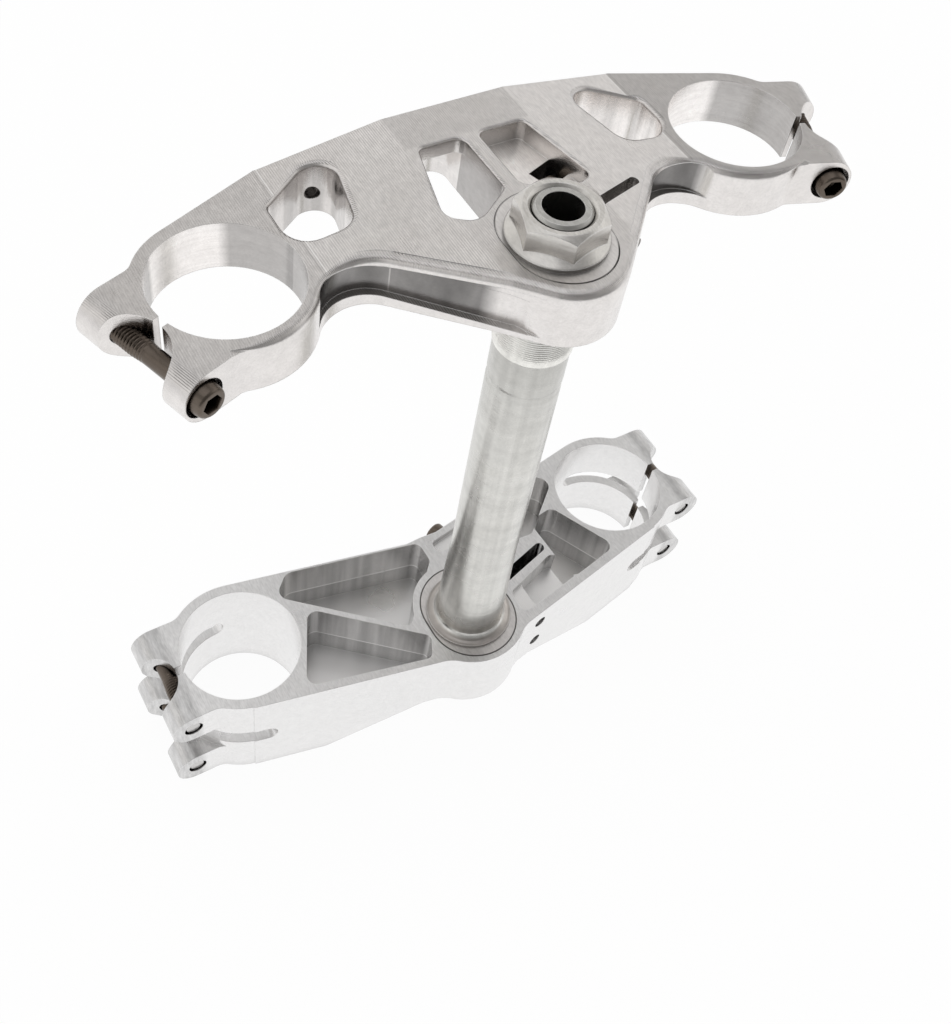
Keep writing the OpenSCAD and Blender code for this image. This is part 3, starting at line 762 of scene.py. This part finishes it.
def upper_zones(g, col, rough):
    """Upper clamp: level faces, walls and openings, and glossier floors of the scoops darkened as
    painted shade and painted reflection.
    """
    col = upper_level_faces(g, col)
    col = g.tint(col, g.wall, 1.14)
    col = upper_openings(g, col)
    scoop = scoop_floors(g)
    # painted shade and painted reflection: the scoop floors darkened, in streaks; they are also made
    # glossier
    scoop_shade_and_reflection = g.ramp(g.noise(60, 3, (1, 1, 0.5)), 0.35, 0.65, 0.17, 0.34)
    col = g.tint(col, scoop, scoop_shade_and_reflection)
    rough = g.math("SUBTRACT", rough, g.product(scoop, 0.14))
    return col, g.math("ADD", rough, g.product(g.flat, 0.08))


def lower_zones(g, col, rough):
    """Lower clamp: pocket walls darkened as painted shade, a painted highlight on the step between two
    cutting depths with painted shade below it, pocket floors made pale as painted light, and a hatched
    finish on the ears."""
    rear = g.math("ADD", g.product(g.ax, REAR_RISE), (REAR_AT_STEM + SHIFT_Y + 1.2) * MM)
    front = g.math("ADD", g.product(g.ax, FRONT_RISE), (FRONT_AT_STEM + SHIFT_Y - 0.45) * MM)
    far = g.length(g.math("SUBTRACT", g.ax, HALF * MM), g.math("SUBTRACT", g.y, SHIFT_Y * MM))
    inner = g.product(g.math("GREATER_THAN", g.y, rear), g.math("LESS_THAN", g.y, front),
                      g.math("GREATER_THAN", far, (BORE_L + 1.5) * MM),
                      g.math("LESS_THAN", g.ax, 86 * MM),
                      g.math("LESS_THAN", g.z, (LOW_TOP - 0.5) * MM),
                      g.math("GREATER_THAN", g.z, (LOW_TOP - POCKET_DEPTH - 0.2) * MM))
    # painted shade: the pocket walls darkened, with upright reed lines
    walls = g.product(inner, g.wall)
    col = g.tint(col, walls, g.ramp(g.noise(240, 2, (1, 1, 0.05)), 0.3, 0.7, 0.60, 0.88))
    # painted shade below the step between two cutting depths, and a painted highlight along it
    line = (LOW_TOP - 18.5) * MM
    col = g.tint(col, g.product(g.fall(g.z, line - 0.4 * MM, line - 0.2 * MM), walls), 0.82)
    step = g.product(g.math("COMPARE", g.z, line, 0.4 * MM), walls)
    col = g.mix(g.product(step, 0.8), col, (0.95, 0.95, 0.95, 1))
    # painted light: the pocket floors made pale
    col = g.mix(g.product(inner, g.flat), col, (1.0, 0.99, 0.98, 1))
    hatch = g.ramp(g.noise(700, 2, (1, 0.2, 0.2)), 0.3, 0.7, 0.66, 0.86)
    col = g.tint(col, g.rise(g.ax, 128 * MM, 131 * MM), hatch)
    return col, g.math("ADD", rough, g.product(g.flat, 0.08))


def stem_zones(g, col, rough):
    """Stem: brownish edge of the collar, painted shade towards the upper clamp, bands and drawn lines
    on the tube, painted light on its right side, pale thread.
    """
    col = g.mix(g.product(g.fall(g.z, 59.1 * MM, 60.0 * MM), 0.8), col, (0.40, 0.365, 0.34, 1))
    # painted shade: the tube darker towards the top, under the upper clamp
    col = g.scale(col, g.ramp(g.z, 190 * MM, 262 * MM, 1.0, 0.74))
    thread = g.product(g.rise(g.z, 241.5 * MM, 242.5 * MM), g.fall(g.z, 272 * MM, 273 * MM))
    col = g.tint(col, thread, 1.6)
    col = g.scale(col, g.ramp(g.noise(90, 2, (0.02, 0.02, 1)), 0.35, 0.65, 0.90, 1.04))
    drawn = g.ramp(g.noise(300, 2, (1, 1, 0.02)), 0.35, 0.65, 0.93, 1.05)
    # painted light: the right side of the tube made paler; drawn lines along the tube
    return g.scale(col, g.product(g.ramp(g.x, 6 * MM, 12 * MM, 1.0, 1.3), drawn)), rough


def from_insert_axis(g, straight):
    """Distance from the middle line of an insert whose straight sides have this length."""
    off = g.math("ABSOLUTE", g.math("SUBTRACT", g.y, (STEM_Y + SHIFT_Y) * MM))
    return g.length(g.x, g.math("MAXIMUM", g.math("SUBTRACT", off, straight / 2 * MM), 0.0))


def insert_zones(g, col, rough):
    """Inserts: dark line along the rims, broken in places on the upper one."""
    high = g.rise(g.z, 200 * MM, 201 * MM)
    upper_rim = g.product(g.rise(from_insert_axis(g, 8.4), 17.55 * MM, 17.65 * MM), high,
                          g.ramp(g.noise(50, 1), 0.42, 0.58, 0.15, 1.0))
    lower_rim = g.product(g.rise(from_insert_axis(g, 7.0), 20.15 * MM, 20.3 * MM),
                          g.math("SUBTRACT", 1.0, high), 0.9)
    return g.tint(col, g.math("MAXIMUM", upper_rim, lower_rim), 0.10), rough


def nut_zones(g, col, rough):
    """Nut: darker flange under the hexagon."""
    return g.tint(col, g.fall(g.z, (DECK + 1.3) * MM, (DECK + 1.7) * MM), 0.45), rough


def bolt_zones(g, col, rough):
    """Bolts: bare ends of the lower pinch bolts."""
    bare = g.product(g.rise(g.y, -15.1 * MM, -15.3 * MM), g.fall(g.z, 70 * MM, 75 * MM))
    return g.mix(bare, col, (0.62, 0.61, 0.60, 1)), rough


MAT_UPPER = machined("aluminium_upper", (0.76, 0.73, 0.71, 1), (0.83, 0.805, 0.79, 1),
                     rough=(0.18, 0.28), lines="clamp", zones=upper_zones, shade=0.4)
MAT_LOWER = machined("aluminium_lower", (0.94, 0.93, 0.925, 1), (0.98, 0.975, 0.97, 1),
                     rough=(0.18, 0.28), lines="lower", zones=lower_zones, shade=0.3)
MAT_STEM = machined("aluminium_stem", (0.64, 0.63, 0.60, 1), (0.77, 0.765, 0.735, 1),
                    rough=(0.22, 0.32), lines="turned", zones=stem_zones, shade=0.6)
MAT_INSERT = machined("aluminium_insert", (0.74, 0.715, 0.70, 1), (0.82, 0.795, 0.78, 1),
                      rough=(0.28, 0.36), lines="turned", zones=insert_zones, edge=0.0, shade=0.6)
MAT_NUT = machined("aluminium_nut", (0.62, 0.60, 0.57, 1), (0.74, 0.72, 0.69, 1),
                   rough=(0.17, 0.26), lines="turned", zones=nut_zones, edge=0.6 * MM, shade=0.8)
MAT_BOLT = machined("steel_bolt", (0.10, 0.08, 0.065, 1), (0.19, 0.16, 0.135, 1),
                    rough=(0.22, 0.34), lines="turned", zones=bolt_zones, edge=0.0)
MAT_DARK = machined("tapped_thread", (0.10, 0.09, 0.085, 1), (0.17, 0.155, 0.145, 1),
                    rough=(0.35, 0.45), lines="turned", edge=0.0, shade=0.0)


def dress(piece, mat):
    """Gives an added piece its finish."""
    piece.data.materials.clear()
    piece.data.materials.append(mat)


for node, mat in (("upper_clamp", MAT_UPPER), ("lower_clamp", MAT_LOWER),
                  ("steering_stem", MAT_STEM), ("upper_insert", MAT_INSERT),
                  ("lower_insert", MAT_INSERT), ("stem_nut", MAT_NUT)):
    for material_slot in NODES[node].material_slots:
        material_slot.link = "OBJECT"
        material_slot.material = mat
for bolt in BOLTS:
    dress(bolt, MAT_BOLT)
dress(STEM_THREAD, MAT_STEM)
dress(TAPPED, MAT_DARK)


# floor, light and camera

def cleared(owner):
    """Node and link makers of an emptied node tree."""
    owner.use_nodes = True
    owner.node_tree.nodes.clear()
    return owner.node_tree.nodes.new, owner.node_tree.links.new


def floor_material():
    """Pale paint that the camera and reflections see as white, with the shadow kept."""
    mat = bpy.data.materials.new("floor_white")
    new, link = cleared(mat)
    paint = new("ShaderNodeBsdfDiffuse")
    paint.inputs["Color"].default_value = (0.96, 0.96, 0.96, 1)
    white = new("ShaderNodeEmission")
    white.inputs["Color"].default_value = (1, 1, 1, 1)
    white.inputs["Strength"].default_value = 1.02
    ray = new("ShaderNodeLightPath")
    seen = new("ShaderNodeMath")
    seen.operation = "MAXIMUM"
    link(ray.outputs["Is Camera Ray"], seen.inputs[0])
    link(ray.outputs["Is Glossy Ray"], seen.inputs[1])
    share = new("ShaderNodeMath")
    share.operation = "MULTIPLY"
    share.inputs[1].default_value = 0.93
    link(seen.outputs[0], share.inputs[0])
    blend = new("ShaderNodeMixShader")
    for k, source in enumerate((share, paint, white)):
        link(source.outputs[0], blend.inputs[k])
    link(blend.outputs[0], new("ShaderNodeOutputMaterial").inputs[0])
    return mat


def studio_world():
    """Soft room: pale near the floor, greyer overhead, darker on the viewer's side."""
    world = bpy.data.worlds.new("studio")
    new, link = cleared(world)
    split = new("ShaderNodeSeparateXYZ")
    link(new("ShaderNodeTexCoord").outputs["Generated"], split.inputs[0])
    sky = new("ShaderNodeValToRGB")
    link(split.outputs[2], sky.inputs[0])
    low, high = sky.color_ramp.elements[0], sky.color_ramp.elements[1]
    low.position = 0.0
    low.color = (0.90, 0.90, 0.91, 1)
    high.position = 1.0
    high.color = (0.64, 0.64, 0.65, 1)
    for height, grey in ((0.30, 0.88), (0.52, 0.95), (0.62, 0.84), (0.71, 0.58), (0.80, 0.43)):
        stop = sky.color_ramp.elements.new(height)
        stop.color = (grey * 1.01, grey, grey * 0.985, 1)
    side = new("ShaderNodeMapRange")
    link(split.outputs[1], side.inputs[0])
    for k, value in enumerate((-0.75, -0.25, 0.34, 1.0)):
        side.inputs[k + 1].default_value = value
    tone = new("ShaderNodeVectorMath")
    tone.operation = "SCALE"
    link(sky.outputs[0], tone.inputs[0])
    link(side.outputs[0], tone.inputs["Scale"])
    background = new("ShaderNodeBackground")
    link(tone.outputs[0], background.inputs[0])
    link(background.outputs[0], new("ShaderNodeOutputWorld").inputs[0])
    return world


def soft_light(name, spot, target, size, energy):
    """A square lamp at a spot, turned towards a target."""
    lamp = bpy.data.lights.new(name, "AREA")
    lamp.size = size
    lamp.energy = energy
    ob = bpy.data.objects.new(name, lamp)
    bpy.context.scene.collection.objects.link(ob)
    ob.location = spot
    ob.rotation_euler = (Vector(target) - Vector(spot)).to_track_quat("-Z", "Y").to_euler()


FLOOR_HALF = 6
FLOOR_Z = -0.4 * MM
floor = new_piece("studio_floor", [(x * FLOOR_HALF, y * FLOOR_HALF, FLOOR_Z)
                                   for x, y in ((-1, -1), (1, -1), (1, 1), (-1, 1))],
                  [(0, 1, 2, 3)], smooth=0, body=None)
floor.data.materials.append(floor_material())
bpy.context.scene.world = studio_world()
soft_light("key_soft", (-0.5, 0.5, 2.6), (0, 0, 0.15), 2.4, 6)

# camera solved from the rims of the four fork bores in the photograph
FOCAL_PIXELS = 1266.7
FRAME_HEIGHT = 1024
SENSOR = 36
CAM_ROWS = [(0.85898, 0.33551, -0.38677, -0.20780),
            (-0.50004, 0.71211, -0.49282, -0.25169),
            (0.11008, 0.61672, 0.77945, 0.56060),
            (0.0, 0.0, 0.0, 1.0)]
cam_data = bpy.data.cameras.new("camera")
cam_data.sensor_fit = "AUTO"
cam_data.sensor_width = SENSOR
cam_data.lens = FOCAL_PIXELS / FRAME_HEIGHT * SENSOR
cam_data.shift_x = 0.02496
cam_data.shift_y = -0.06820
cam_data.clip_start = 0.01
cam_data.clip_end = 50
cam = bpy.data.objects.new("camera", cam_data)
bpy.context.scene.collection.objects.link(cam)
bpy.context.scene.camera = cam
cam.matrix_world = Matrix(CAM_ROWS)

bpy.context.scene.view_settings.view_transform = "Standard"
